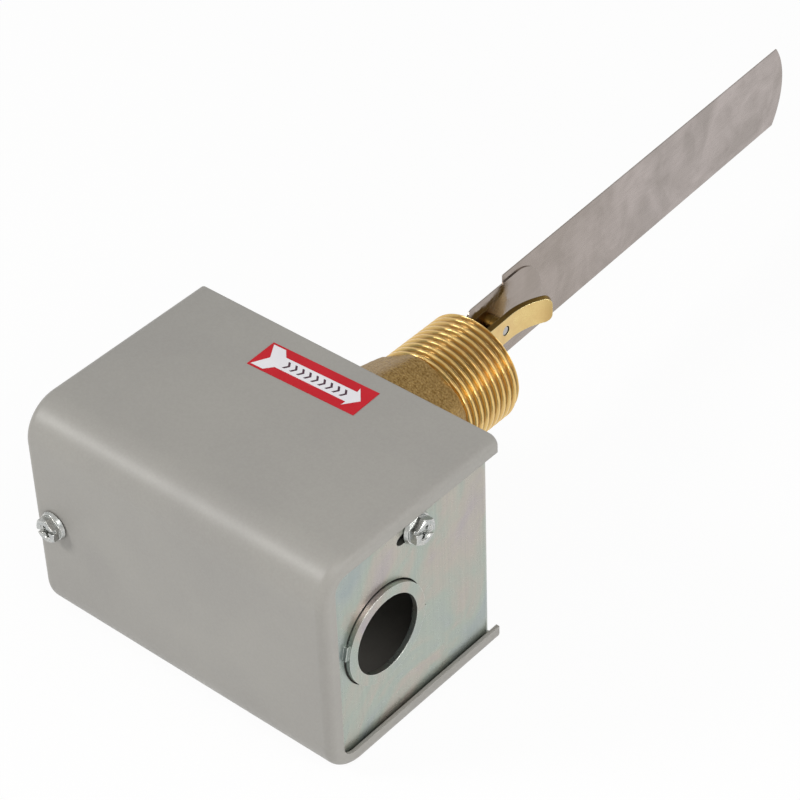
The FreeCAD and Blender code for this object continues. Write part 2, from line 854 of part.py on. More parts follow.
plunger = rod(plungerRadius, (caseFaceX - plungerRoot, plungerY, 0), (plungerTipX, plungerY, 0))
plunger = plunger.makeFillet(
    0.6, [edge for edge in plunger.Edges if abs(edge.CenterOfMass.x - plungerTipX) < 1e-3]
)
save("switch_plunger", plunger)

terminals = []
terminalScrews = []
caseBackX = caseFaceX - caseDepth
for place in range(3):
    y = caseFrontY + terminalInset + terminalPitch * place
    tongue = block(
        (caseBackX - terminalReach, y - terminalWidth / 2, -terminalThick / 2),
        (caseBackX, y + terminalWidth / 2, terminalThick / 2),
    )
    screwX = caseBackX - terminalScrewInset
    tongue = tongue.cut(rod(terminalShank + slotGap, (screwX, y, -5), (screwX, y, 5)))
    terminals.append(tongue)
    terminalScrews.append(
        panScrew(
            (screwX, y, terminalThick / 2), zDir, terminalThick + 2.5,
            terminalShank, terminalHeadRadius, terminalHead,
        )
    )
save("switch_terminals", *terminals)
save("terminal_screws", *terminalScrews)


# ---- rocker and its pin
def makeRocker():
    halfThick = rockerThick / 2
    bar = block(
        (rockerPinX - halfThick, rockerPinY, -rockerHalfWidth),
        (rockerPinX + halfThick, rockerEndY, rockerHalfWidth),
    )
    hub = rod(
        rockerHubRadius,
        (rockerPinX, rockerPinY, shelfTopZ + bodyGap),
        (rockerPinX, rockerPinY, rockerHalfWidth),
    )
    nose = rod(noseRadius, (noseX, noseY, -rockerHalfWidth), (noseX, noseY, rockerHalfWidth))
    bore = rod(rockerPinRadius + runningGap, (rockerPinX, rockerPinY, -10), (rockerPinX, rockerPinY, 10))
    return bar.fuse([hub, nose]).cut(bore)


save("rocker", makeRocker())
rockerPin = rod(
    rockerPinRadius,
    (rockerPinX, rockerPinY, shelfTopZ - shelfThick),
    (rockerPinX, rockerPinY, rockerPinTopZ),
)
pinHead = rod(
    rockerHubRadius - 0.4,
    (rockerPinX, rockerPinY, rockerHalfWidth + bodyGap),
    (rockerPinX, rockerPinY, rockerPinTopZ),
)
save("rocker_pin", rockerPin.fuse(pinHead))


# ---- range screw, nut and spring
def makeRangeScrew():
    headX = earX - shelfThick - bodyGap
    shank = rod(screwRadius, (headX, springY, 0), (rangeScrewTipX, springY, 0))
    head = prism(rangeHeadAcross, (headX, springY, 0), (headX - rangeHead, springY, 0))
    slot = block(
        (headX - rangeHead - 1, springY - 6, -driveSlot / 2),
        (headX - rangeHead + driveDepth, springY + 6, driveSlot / 2),
    )
    return shank.fuse(head).cut(slot)


def makeRangeNut():
    nut = block(
        (rangeNutX, springY - rangeNutHalf + 0.6, -rangeNutHalf),
        (rangeNutX + rangeNutThick, springY + rangeNutHalf - 0.6, rangeNutHalf),
    )
    return nut.cut(rod(screwRadius + runningGap, (-50, springY, 0), (0, springY, 0)))


def makeSpring():
    startX = rangeNutX + rangeNutThick + springWire / 2
    endX = -switchArmThick / 2 - springCupThick - springWire / 2 - bodyGap
    length = endX - startX
    helix = Part.makeHelix(length / springTurns, length, springMeanRadius)
    ring = Part.Wire(Part.makeCircle(springWire / 2, Vec(springMeanRadius, 0, 0), yDir))
    coil = Part.Wire(helix).makePipeShell([ring], True, True)
    return aimed(coil, Vec(startX, springY, 0), xDir)


save("range_screw", makeRangeScrew())
save("range_nut", makeRangeNut())
save("range_spring", makeSpring())
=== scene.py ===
import math

import bpy
import numpy as np
from mathutils import Matrix, Vector, noise


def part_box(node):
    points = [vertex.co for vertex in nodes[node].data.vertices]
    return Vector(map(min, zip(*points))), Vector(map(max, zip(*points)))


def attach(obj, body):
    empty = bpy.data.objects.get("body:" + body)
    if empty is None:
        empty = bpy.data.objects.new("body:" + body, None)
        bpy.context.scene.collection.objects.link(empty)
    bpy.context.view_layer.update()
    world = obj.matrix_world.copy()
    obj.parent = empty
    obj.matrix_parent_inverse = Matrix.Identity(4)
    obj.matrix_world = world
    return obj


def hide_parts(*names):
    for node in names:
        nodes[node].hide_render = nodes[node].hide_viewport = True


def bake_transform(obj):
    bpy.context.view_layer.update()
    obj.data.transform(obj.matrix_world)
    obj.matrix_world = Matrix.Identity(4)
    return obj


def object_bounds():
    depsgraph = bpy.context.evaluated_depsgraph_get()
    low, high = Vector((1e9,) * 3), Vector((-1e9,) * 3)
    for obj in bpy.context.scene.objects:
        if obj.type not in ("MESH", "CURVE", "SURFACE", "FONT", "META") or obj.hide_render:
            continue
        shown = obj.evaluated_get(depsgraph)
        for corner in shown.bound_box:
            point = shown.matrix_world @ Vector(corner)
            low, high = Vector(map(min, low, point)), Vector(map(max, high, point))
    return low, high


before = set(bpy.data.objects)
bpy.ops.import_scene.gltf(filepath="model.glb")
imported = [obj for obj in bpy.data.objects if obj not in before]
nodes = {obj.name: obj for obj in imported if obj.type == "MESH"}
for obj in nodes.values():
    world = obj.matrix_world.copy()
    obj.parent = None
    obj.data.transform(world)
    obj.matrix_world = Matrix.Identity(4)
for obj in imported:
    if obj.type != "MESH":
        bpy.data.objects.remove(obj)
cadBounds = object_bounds()
mm = 0.001
print("frame loaded:", len(nodes), "nodes")


# camera, light and floor
camera = {
    "azimuth": 41.8, "elevation": 39.5, "roll": -2.2,  # degrees
    "distance": 0.7484, "lens": 126.9, "sensorWidth": 36.0, "clipStart": 0.01,
    "aim": (-0.0061, 0.0010, 0.0000),  # point on the optical axis
}
studio = {
    "floorColour": (0.95, 0.95, 0.945), "floorHalf": 3.0,
    "floorWhite": 0.945,  # share of plain white that the viewer sees
    "skyLevel": 0.43, "skyColour": (1.0, 0.995, 0.985),
    "shade": [  # height in the mirrored room, and how bright it is there
        (0.0, 0.42), (0.09, 0.48), (0.14, 1.0), (0.53, 1.0),
        (0.58, 0.22), (0.70, 0.30), (0.84, 0.62), (1.0, 0.7),
    ],
    "shadeDirection": (0.68, 0.73, 0.0), "shadeEdge": (0.2, 0.6),  # side with the dark wall band
    "openSide": (0.74, 0.74, 0.73),  # the rest of the mirrored room
}
softboxes = [  # name, direction it stands in, distance, size, watts, colour
    ("overheadBox", (0.55, -0.45, 0.70), 0.42, 0.2, 0.36, (1.0, 0.975, 0.94)),
    ("frontLeftBox", (-0.514, -0.635, 0.575), 1.1, 0.34, 4.9, (1.0, 0.99, 0.975)),
    ("rightBox", (0.95, 0.15, 0.30), 1.1, 0.5, 3.6, (1.0, 0.99, 0.975)),
]


def link(thing):
    bpy.context.scene.collection.objects.link(thing)
    return thing


def makeCamera():
    az, el = math.radians(camera["azimuth"]), math.radians(camera["elevation"])
    back = Vector((math.sin(az) * math.cos(el), -math.cos(az) * math.cos(el), math.sin(el)))
    data = bpy.data.cameras.new("viewCamera")
    data.lens = camera["lens"]
    data.sensor_width = camera["sensorWidth"]
    data.clip_start = camera["clipStart"]
    eye = link(bpy.data.objects.new("viewCamera", data))
    turn = back.to_track_quat("Z", "Y").to_matrix()
    turn = turn @ Matrix.Rotation(math.radians(camera["roll"]), 3, "Z")
    eye.matrix_world = Matrix.Translation(Vector(camera["aim"]) + back * camera["distance"]) @ turn.to_4x4()
    bpy.context.scene.camera = eye


def makeSoftboxes():
    for name, direction, distance, size, watts, colour in softboxes:
        data = bpy.data.lights.new(name, "AREA")
        data.shape = "DISK"
        data.size = size
        data.energy = watts
        data.color = colour
        lamp = link(bpy.data.objects.new(name, data))
        lamp.location = Vector(direction).normalized() * distance
        lamp.rotation_euler = Vector(direction).to_track_quat("Z", "Y").to_euler()


def addNode(tree, kind, inputs=None, **settings):
    node = tree.nodes.new(kind)
    for key, value in settings.items():
        setattr(node, key, value)
    for key, value in (inputs or {}).items():
        if isinstance(value, bpy.types.NodeSocket):
            tree.links.new(value, node.inputs[key])
        else:
            node.inputs[key].default_value = value
    return node


def maths(tree, operation, first, second=0.0, **settings):
    return addNode(tree, "ShaderNodeMath", {0: first, 1: second}, operation=operation, **settings).outputs[0]


def mixColour(tree, share, first, second):
    return addNode(tree, "ShaderNodeMix", {0: share, 6: first, 7: second}, data_type="RGBA").outputs[2]


def mixShader(tree, share, first, second):
    return addNode(tree, "ShaderNodeMixShader", {0: share, 1: first, 2: second}).outputs[0]


def reach(tree, value, low, high, newLow, newHigh):  # stretches a value to a new range, held at the ends
    return addNode(tree, "ShaderNodeMapRange", {
        "Value": value, "From Min": low, "From Max": high, "To Min": newLow, "To Max": newHigh,
    }).outputs[0]


def spread(tree, pattern, half, low=0.0, high=1.0):  # widens a noise round its middle
    return reach(tree, pattern, 0.5 - half, 0.5 + half, low, high)


def rampOf(tree, value, stops):
    ramp = addNode(tree, "ShaderNodeValToRGB", {0: value})
    elements = ramp.color_ramp.elements
    for index, (spot, colour) in enumerate(stops):
        stop = elements[index] if index < 2 else elements.new(spot)
        stop.position = spot
        stop.color = colour
    return ramp.outputs[0]


def seenDirectly(tree):  # 1 for what the camera, a mirror or glass shows, 0 for light that a surface gathers
    path = addNode(tree, "ShaderNodeLightPath").outputs
    either = maths(tree, "MAXIMUM", path["Is Camera Ray"], path["Is Glossy Ray"])
    return maths(tree, "MAXIMUM", either, path["Is Transmission Ray"])


def roomInMirrors(tree):  # the room as metal mirrors it, with a dark band of wall on one side
    direction = addNode(tree, "ShaderNodeTexCoord").outputs["Generated"]
    height = addNode(tree, "ShaderNodeSeparateXYZ", {0: direction}).outputs["Z"]
    wall = rampOf(tree, height, [(spot, (level, level, level, 1)) for spot, level in studio["shade"]])
    side = addNode(tree, "ShaderNodeVectorMath", {0: direction, 1: studio["shadeDirection"]},
                   operation="DOT_PRODUCT").outputs["Value"]
    share = reach(tree, side, *studio["shadeEdge"], 0.0, 1.0)
    return mixColour(tree, share, (*studio["openSide"], 1), wall)


def makeSky():
    world = bpy.data.worlds.new("paleRoom")
    bpy.context.scene.world = world
    world.use_nodes = True
    tree = world.node_tree
    tree.nodes.clear()

    def background(colour, strength):
        return addNode(tree, "ShaderNodeBackground", {"Color": colour, "Strength": strength}).outputs[0]

    glow = background((*studio["skyColour"], 1), studio["skyLevel"])
    shown = mixShader(tree, seenDirectly(tree), glow, background((1, 1, 1, 1), 1.0))
    glossy = addNode(tree, "ShaderNodeLightPath").outputs["Is Glossy Ray"]
    both = mixShader(tree, glossy, shown, background(roomInMirrors(tree), 1.0))
    addNode(tree, "ShaderNodeOutputWorld", {"Surface": both})


def meshPiece(name, points, faces):
    mesh = bpy.data.meshes.new(name)
    mesh.from_pydata([tuple(point) for point in points], [], [tuple(face) for face in faces])
    mesh.update()
    return link(bpy.data.objects.new(name, mesh))


def makeFloor():
    level, half = cadBounds[0].z, studio["floorHalf"]
    corners = [(-half, -half, level), (half, -half, level), (half, half, level), (-half, half, level)]
    floor = meshPiece("paleFloor", corners, [(0, 1, 2, 3)])
    material = bpy.data.materials.new("paleFloor")
    material.use_nodes = True
    tree = material.node_tree
    tree.nodes.clear()
    matt = addNode(tree, "ShaderNodeBsdfDiffuse", {"Color": (*studio["floorColour"], 1)}).outputs[0]
    white = addNode(tree, "ShaderNodeEmission", {"Color": (1, 1, 1, 1), "Strength": 1.0}).outputs[0]
    share = maths(tree, "MULTIPLY", seenDirectly(tree), studio["floorWhite"])
    addNode(tree, "ShaderNodeOutputMaterial", {"Surface": mixShader(tree, share, matt, white)})
    floor.data.materials.append(material)


def smoothed(piece, degrees):
    piece.data.shade_smooth()
    piece.data.set_sharp_from_angle(angle=math.radians(degrees))
    return piece


def dressed(piece, material, body, slot, *replaced):  # replaced names the nodes that the piece stands for
    piece.data.materials.clear()
    piece.data.materials.append(material)
    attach(piece, body)
    if replaced:
        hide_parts(*replaced)
    return piece


makeCamera()
makeSoftboxes()
makeSky()
makeFloor()
print("camera, light and floor set")


# shader groups that several finishes share
def linear(red, green, blue):  # a colour written as 0 to 255, in the linear values that shaders take
    parts = []
    for part in (red, green, blue):
        part = part / 255
        parts.append(part / 12.92 if part <= 0.04045 else ((part + 0.055) / 1.055) ** 2.4)
    return (*parts, 1.0)


def startGroup(name, inputs, outputs):
    group = bpy.data.node_groups.new(name, "ShaderNodeTree")
    for title, kind, value in inputs:
        socket = group.interface.new_socket(name=title, in_out="INPUT", socket_type=kind)
        if value is not None:
            socket.default_value = value
    for title, kind in outputs:
        group.interface.new_socket(name=title, in_out="OUTPUT", socket_type=kind)
    return group, group.nodes.new("NodeGroupInput").outputs, group.nodes.new("NodeGroupOutput").inputs


def makeEdgeWear():  # mask of worn corners, and the rounded normal that catches light on them
    tree, given, out = startGroup(
        "edgeWear",
        [("Radius", "NodeSocketFloat", 0.0003), ("Wear", "NodeSocketFloat", 1.0)],
        [("Mask", "NodeSocketFloat"), ("Normal", "NodeSocketVector")],
    )
    rounded = addNode(tree, "ShaderNodeBevel", {"Radius": given["Radius"]}, samples=4).outputs[0]
    flat = addNode(tree, "ShaderNodeNewGeometry").outputs["Normal"]
    facing = addNode(tree, "ShaderNodeVectorMath", {0: rounded, 1: flat}, operation="DOT_PRODUCT")
    bare = reach(tree, facing.outputs["Value"], 0.995, 0.86, 0.0, 1.0)
    worn = maths(tree, "MULTIPLY", bare, given["Wear"], use_clamp=True)
    tree.links.new(worn, out["Mask"])
    tree.links.new(rounded, out["Normal"])
    return tree


def makeGrain():  # fine speckle and soft cloudy patches, with their sizes in metres
    tree, given, out = startGroup(
        "grainAndCloud",
        [("Vector", "NodeSocketVector", None), ("Grain Size", "NodeSocketFloat", 0.0006),
         ("Cloud Size", "NodeSocketFloat", 0.02), ("Warp", "NodeSocketFloat", 0.4)],
        [("Grain", "NodeSocketFloat"), ("Cloud", "NodeSocketFloat")],
    )
    for size, output, detail in (("Grain Size", "Grain", 3.0), ("Cloud Size", "Cloud", 4.0)):
        pattern = addNode(tree, "ShaderNodeTexNoise", {
            "Vector": given["Vector"], "Scale": maths(tree, "DIVIDE", 1.0, given[size]), "Detail": detail,
            "Roughness": 0.55, "Distortion": given["Warp"],
        })
        tree.links.new(pattern.outputs[0], out[output])
    return tree


def makeStreaks():  # long thin rolling or brushing lines; the stretch squeezes them along each axis
    tree, given, out = startGroup(
        "rollingLines",
        [("Vector", "NodeSocketVector", None), ("Stretch", "NodeSocketVector", (1.0, 0.04, 1.0)),
         ("Line Size", "NodeSocketFloat", 0.0005)],
        [("Lines", "NodeSocketFloat")],
    )
    squeezed = addNode(tree, "ShaderNodeVectorMath", {0: given["Vector"], 1: given["Stretch"]},
                       operation="MULTIPLY")
    pattern = addNode(tree, "ShaderNodeTexNoise", {
        "Vector": squeezed.outputs[0], "Scale": maths(tree, "DIVIDE", 1.0, given["Line Size"]),
        "Detail": 2.0, "Roughness": 0.6,
    })
    tree.links.new(pattern.outputs[0], out["Lines"])
    return tree


edgeWear = makeEdgeWear()
grainAndCloud = makeGrain()
rollingLines = makeStreaks()


def startMaterial(name, settings):
    material = bpy.data.materials.new(name)
    material.use_nodes = True
    tree = material.node_tree
    tree.nodes.clear()
    shader = tree.nodes.new("ShaderNodeBsdfPrincipled")
    shader.inputs["Metallic"].default_value = settings.get("metallic", 0.0)
    shader.inputs["Specular IOR Level"].default_value = settings.get("specular", 0.5)
    addNode(tree, "ShaderNodeOutputMaterial", {"Surface": shader.outputs[0]})
    place = addNode(tree, "ShaderNodeTexCoord").outputs["Object"]
    return material, tree, shader.inputs, place


def useGroup(tree, group, inputs):
    return addNode(tree, "ShaderNodeGroup", inputs, node_tree=group).outputs


def grained(tree, place, settings):
    return useGroup(tree, grainAndCloud, {
        "Vector": place, "Grain Size": settings["grain"], "Cloud Size": settings["cloud"],
        "Warp": settings["warp"],
    })


def rolled(tree, place, settings, colour):  # the colour with rolling lines in it, and the lines
    lines = useGroup(tree, rollingLines, {
        "Vector": place, "Stretch": settings["lines"], "Line Size": settings["lineSize"],
    })["Lines"]
    share = spread(tree, lines, settings["lineSpread"], 0.0, settings["lineDepth"])
    return mixColour(tree, share, colour, linear(*settings["lineColour"])), lines


def finishSurface(tree, shader, settings, colour, height):  # worn edges and relief, then the shader's links
    wear = useGroup(tree, edgeWear, {"Radius": settings["edge"], "Wear": settings["wear"]})
    colour = mixColour(tree, wear["Mask"], colour, linear(*settings["worn"]))
    bump = addNode(tree, "ShaderNodeBump", {
        "Strength": settings["bump"], "Distance": settings["bumpHeight"], "Height": height,
        "Normal": wear["Normal"],
    })
    tree.links.new(colour, shader["Base Color"])
    tree.links.new(bump.outputs[0], shader["Normal"])


plainFinish = {  # what a finish has where its own entry doesn't say otherwise; sizes in metres
    "grain": 0.0006, "cloud": 0.015, "warp": 0.4, "speckle": 0.1, "speckColour": (60, 55, 50),
    "lineSize": 0.0005, "lineSpread": 0.2, "lineDepth": 0.15, "roughSpread": 0.05,
    "edge": 0.0002, "wear": 0.5, "bump": 0.2, "bumpHeight": 0.0001,
}
finishes = {
    "greyPaint": {"colour": (162, 160, 155), "second": (157, 155, 151), "speckColour": (120, 116, 108),
                  "grain": 0.0007, "cloud": 0.03, "rough": 0.42, "roughSpread": 0.03, "bump": 0.18,
                  "bumpHeight": 0.00006, "edge": 0.0004, "wear": 0.45, "worn": (190, 187, 180),
                  "specular": 0.4},
    "fibreCard": {"colour": (38, 38, 40), "second": (28, 29, 31), "rough": 0.7, "grain": 0.0004,
                  "cloud": 0.006, "bump": 0.3},
    "turnedBrass": {"colour": (226, 186, 112), "second": (212, 166, 90), "metallic": 1.0, "rough": 0.26,
                    "lines": (0.03, 1.0, 0.03), "lineSize": 0.0002, "speckColour": (150, 105, 50),
                    "cloud": 0.008, "worn": (250, 220, 150), "wear": 0.6},
    "nutBrass": {"colour": (220, 190, 120), "second": (205, 170, 95), "metallic": 1.0, "rough": 0.32,
                 "speckColour": (140, 100, 50), "worn": (245, 220, 160)},
    "stripBrass": {"colour": (232, 206, 142), "second": (222, 190, 130), "metallic": 1.0, "rough": 0.3,
                   "cutEdge": (146, 118, 60), "lines": (1.0, 0.03, 1.0), "lineSize": 0.0003,
                   "speckColour": (190, 150, 90), "cloud": 0.006, "worn": (255, 245, 190), "wear": 0.8,
                   "edge": 0.00025, "lineDepth": 0.12},
    "terminalBrass": {"colour": (214, 190, 126), "second": (200, 172, 104), "metallic": 1.0, "rough": 0.34,
                      "speckColour": (140, 110, 60), "worn": (240, 220, 170)},
    "bronze": {"colour": (190, 140, 96), "second": (170, 118, 76), "metallic": 1.0, "rough": 0.3,
               "speckColour": (110, 70, 40), "worn": (225, 180, 130)},
    "gasketFibre": {"colour": (58, 62, 60), "second": (46, 50, 48), "rough": 0.8, "grain": 0.0005,
                    "bump": 0.4},
    "springSteel": {"colour": (176, 178, 180), "second": (150, 152, 156), "metallic": 1.0, "rough": 0.3,
                    "worn": (210, 212, 214)},
    "stainless": {"colour": (190, 188, 184), "second": (176, 174, 172), "metallic": 1.0, "rough": 0.25,
                  "worn": (225, 225, 222)},
    "phenolic": {"colour": (34, 32, 31), "second": (26, 25, 25), "rough": 0.42, "grain": 0.0004,
                 "bump": 0.15, "speckColour": (60, 56, 52), "worn": (70, 66, 62)},
    "plungerRed": {"colour": (176, 34, 30), "second": (160, 28, 26), "rough": 0.35, "worn": (200, 70, 60)},
    "zincScrew": {"colour": (208, 208, 204), "second": (186, 190, 190), "metallic": 1.0, "rough": 0.24,
                  "grain": 0.0004, "cloud": 0.002, "speckle": 0.3, "speckColour": (90, 92, 90),
                  "bump": 0.3, "worn": (250, 250, 245), "wear": 1.0},
    "greenScrew": {"colour": (52, 120, 70), "second": (40, 104, 62), "metallic": 0.6, "rough": 0.34,
                   "worn": (150, 180, 150), "wear": 0.8},
    "labelRed": {"colour": (200, 20, 38), "second": (192, 18, 34), "specular": 0.25, "rough": 0.36,
                 "speckle": 0.06, "grain": 0.0004, "cloud": 0.01, "speckColour": (150, 20, 30),
                 "worn": (214, 60, 70), "wear": 0.4, "edge": 0.0001},
    "labelInk": {"colour": (70, 24, 50), "second": (60, 20, 44), "rough": 0.4, "grain": 0.0004,
                 "cloud": 0.01, "wear": 0.0},
    "labelWhite": {"colour": (238, 237, 240), "second": (230, 230, 236), "rough": 0.36, "speckle": 0.04,
                   "grain": 0.0004, "cloud": 0.01, "speckColour": (200, 196, 200), "wear": 0.0},
}


def makeFinish(name, own):  # cloudy colour, fine grain in the relief, rolling lines and worn edges
    settings = {**plainFinish, "worn": own["colour"], **own}
    settings["lineColour"] = settings["speckColour"]
    material, tree, shader, place = startMaterial(name, settings)
    grain = grained(tree, place, settings)
    colour = mixColour(tree, spread(tree, grain["Cloud"], 0.18), linear(*settings["colour"]),
                       linear(*settings["second"]))
    colour = mixColour(tree, spread(tree, grain["Grain"], 0.15, 0.0, settings["speckle"]), colour,
                       linear(*settings["speckColour"]))
    height = grain["Grain"]
    if "lines" in settings:
        colour, lines = rolled(tree, place, settings, colour)
        height = maths(tree, "ADD", height, lines)
    if "cutEdge" in settings:  # sheared edges of a strip whose broad faces look along X
        normal = addNode(tree, "ShaderNodeNewGeometry").outputs["Normal"]
        across = addNode(tree, "ShaderNodeSeparateXYZ", {0: normal}).outputs["X"]
        edge = reach(tree, maths(tree, "ABSOLUTE", across), 0.6, 0.9, 1.0, 0.0)
        colour = mixColour(tree, edge, colour, linear(*settings["cutEdge"]))
    rough, change = settings["rough"], settings["roughSpread"]
    tree.links.new(spread(tree, grain["Cloud"], 0.2, rough - change, rough + change), shader["Roughness"])
    finishSurface(tree, shader, settings, colour, height)
    return material


materials = {name: makeFinish(name, own) for name, own in finishes.items()}


# zinc plating: grey with faint blue, green, pink and straw clouds, as passivated sheet has
zincPlating = {
    "tints": [(0.28, (150, 163, 166)), (0.42, (166, 174, 170)), (0.52, (170, 178, 168)),
              (0.62, (182, 176, 166)), (0.74, (176, 168, 170))],
    "grain": 0.0009, "cloud": 0.030, "warp": 1.2, "metallic": 0.85, "rough": (0.25, 0.38),
    "lines": (0.5, 1.0, 0.02), "lineSize": 0.0008, "lineSpread": 0.15, "lineDepth": 0.12,
    "lineColour": (120, 130, 130), "edge": 0.00025, "wear": 0.8, "worn": (225, 228, 222),
    "bump": 0.12, "bumpHeight": 0.0001,
}


def makeZincPlating(name, settings):
    material, tree, shader, place = startMaterial(name, settings)
    grain = grained(tree, place, settings)
    colour = rampOf(tree, grain["Cloud"], [(spot, linear(*tint)) for spot, tint in settings["tints"]])
    colour, lines = rolled(tree, place, settings, colour)
    tree.links.new(spread(tree, grain["Grain"], 0.2, *settings["rough"]), shader["Roughness"])
    finishSurface(tree, shader, settings, colour, lines)
    return material


materials["zincPlating"] = makeZincPlating("zincPlating", zincPlating)


# paddle sheet: thin rolled stainless, its mirror dulled in cloudy patches, with a painted reflection of the
# brass fitting near its root
paddleSheet = {
    "dark": (158, 149, 144), "light": (180, 170, 166), "brassReflection": (150, 138, 126),
    "brassReflectionEnd": (0.02, 0.12), "brassReflectionShare": 0.75,  # painted reflection of the brass fitting: browner at the fitting, fading along the blade
    "grain": 0.0012, "cloud": 0.016, "warp": 0.8, "metallic": 1.0, "rough": (0.16, 0.34),
    "patches": {"grain": 0.004, "cloud": 0.03, "warp": 0.5},
    "lines": (1.0, 0.05, 1.0), "lineSize": 0.0006, "lineSpread": 0.15, "lineDepth": 0.10,
    "lineColour": (110, 104, 100), "edge": 0.00012, "wear": 0.6, "worn": (205, 200, 195),
    "bump": 0.15, "bumpHeight": 0.0002,
}


def makePaddleSheet(name, settings):
    material, tree, shader, place = startMaterial(name, settings)
    grain = grained(tree, place, settings)
    patches = grained(tree, place, settings["patches"])["Grain"]
    colour = mixColour(tree, spread(tree, grain["Cloud"], 0.15), linear(*settings["dark"]),
                       linear(*settings["light"]))
    alongBlade = addNode(tree, "ShaderNodeSeparateXYZ", {0: place}).outputs["Y"]
    # painted reflection of the brass fitting, strongest at the blade's root and fading along it
    root = reach(tree, alongBlade, *settings["brassReflectionEnd"], settings["brassReflectionShare"], 0.0)
    colour = mixColour(tree, root, colour, linear(*settings["brassReflection"]))
    colour, lines = rolled(tree, place, settings, colour)
    tree.links.new(spread(tree, patches, 0.15, *settings["rough"]), shader["Roughness"])
    finishSurface(tree, shader, settings, colour, patches)
    return material


materials["paddleSheet"] = makePaddleSheet("paddleSheet", paddleSheet)
polishedSheet = {**paddleSheet, "rough": (0.03, 0.21), "cloud": 0.02}
materials["polishedSheet"] = makePaddleSheet("polishedSheet", polishedSheet)


# fitting brass: sand-cast hexagon, turned thread with painted shade in its roots and in the bores
fittingBrass = {
    "cast": (176, 146, 92), "castDark": (128, 98, 52), "castLight": (206, 178, 122),
    # root is the colour of painted shade, in the thread's roots and the bores
    "crest": (232, 197, 128), "root": (128, 100, 56), "stain": (214, 160, 104), "stainShare": 0.22,
    "castRough": 0.46, "threadRough": 0.24, "metallic": 1.0,
    "grain": 0.0006, "cloud": 0.006, "warp": 0.2, "sandCells": 1500.0, "sandShare": 0.3,
    "edge": 0.0002, "wear": 0.5, "worn": (246, 214, 150), "bump": 0.6, "bumpHeight": 0.0002,
}


def makeFittingBrass(name, settings):
    material, tree, shader, place = startMaterial(name, settings)
    turned, paintedShade = (addNode(tree, "ShaderNodeAttribute", attribute_name=title).outputs["Fac"]
                      for title in ("turned", "paintedShade"))
    titles = ("cast", "castDark", "castLight", "crest", "root", "stain")
    tones = {title: linear(*settings[title]) for title in titles}
    sand = grained(tree, place, settings)
    cells = addNode(tree, "ShaderNodeTexVoronoi", {"Vector": place, "Scale": settings["sandCells"]},
                    feature="F1").outputs["Distance"]
    cast = mixColour(tree, spread(tree, sand["Grain"], 0.16), tones["castDark"], tones["cast"])
    cast = mixColour(tree, reach(tree, cells, 0.45, 0.1, 0.0, settings["sandShare"]), cast, tones["castLight"])
    # painted shade: the turned brass darkens towards the root colour in the thread's roots and the bores
    thread = mixColour(tree, paintedShade, tones["crest"], tones["root"])
    stained = reach(tree, sand["Cloud"], 0.4, 0.65, 0.0, settings["stainShare"])
    thread = mixColour(tree, stained, thread, tones["stain"])
    rough = addNode(tree, "ShaderNodeMix", {0: turned, 2: settings["castRough"], 3: settings["threadRough"]})
    tree.links.new(rough.outputs[0], shader["Roughness"])
    relief = maths(tree, "SUBTRACT", sand["Grain"], cells)
    height = maths(tree, "MULTIPLY", relief, maths(tree, "SUBTRACT", 1.0, turned))
    finishSurface(tree, shader, settings, mixColour(tree, turned, cast, thread), height)
    return material


materials["fittingBrass"] = makeFittingBrass("fittingBrass", fittingBrass)
print("finishes made:", len(materials))


# CAD nodes that keep their shape
nodeFinishes = {
    "cover": "greyPaint", "flow_label": "labelRed", "insulating_liner": "fibreCard", "end_nut": "zincScrew",
    "seat_gasket": "gasketFibre", "toothed_washer": "zincScrew", "fitting_nut": "nutBrass",
    "pivot_pin": "stainless", "pivot_clips": "springSteel", "mechanism_bracket": "zincPlating",
    "switch_case": "phenolic", "switch_terminals": "terminalBrass", "rocker_pin": "stainless",
    "lever_hub": "turnedBrass", "paddle_arm": "stripBrass", "arm_rivets": "turnedBrass",
    "switch_arm": "zincPlating", "spring_cup": "turnedBrass", "short_paddle": "polishedSheet",
    "long_paddle": "paddleSheet", "paddle_spacers": "stripBrass", "paddle_washers": "stainless",
    "rocker": "zincPlating", "switch_plunger": "plungerRed", "range_screw": "zincScrew",
    "range_nut": "nutBrass",
}
for node, finish in nodeFinishes.items():
    nodes[node].data.materials.clear()
    nodes[node].data.materials.append(materials[finish])
print("nodes dressed:", len(nodeFinishes))


# pipe fitting: one shell turned round the Y axis, hexagon, neck and both threads as rows of radii
pipeFitting = {
    "aroundSteps": 192, "cornerRound": 0.965, "castBumps": 0.10 * mm, "bumpsPerMetre": 700,
    "hexAcross": 36.5 * mm, "hexChamfer": 0.5 * mm, "hexRows": 14,
    "neckAcross": 31.2 * mm, "neckStart": -14.0 * mm, "neckEnd": 2.2 * mm, "neckRows": 34,
    "threadRadius": 16.1 * mm, "pitch": 2.3 * mm, "threadDepth": 0.95 * mm, "crestFlat": 0.56,
    # the thread's curve sets how the painted shade falls off across each root
    "shadeCurve": 1.6, "runOut": 2.2 * mm, "tipTaper": -0.05 * mm, "tipChamfer": 1.2 * mm, "tipSlope": 1.2,
    "wetBore": 13.0 * mm, "dryBore": 8.5 * mm, "wetEnd": -10.0 * mm, "boreChamfer": 0.5 * mm,
    "spigotRadius": 13.0 * mm, "spigotPitch": 1.5 * mm, "spigotDepth": 0.7 * mm, "spigotFlat": 0.1,
    "spigotNeck": 3.5 * mm,
}


def hexRadius(across, angles, roundShare):  # corners at angle 0, eased towards a circle
    folded = np.mod(angles, math.pi / 3) - math.pi / 6
    flat = across / 2 / np.cos(folded)
    cap = across / math.sqrt(3) * roundShare
    return (flat ** -40.0 + cap ** -40.0) ** (-1 / 40.0)


def threadHeight(y, angles, pitch, flat):  # 1 on the crest of a right-hand thread and 0 at its root
    phase = np.mod(y / pitch - angles / (2 * math.pi), 1.0)
    ridge = 1 - np.abs(2 * phase - 1)
    return np.clip((ridge - flat / 2) / (1 - flat), 0, 1)


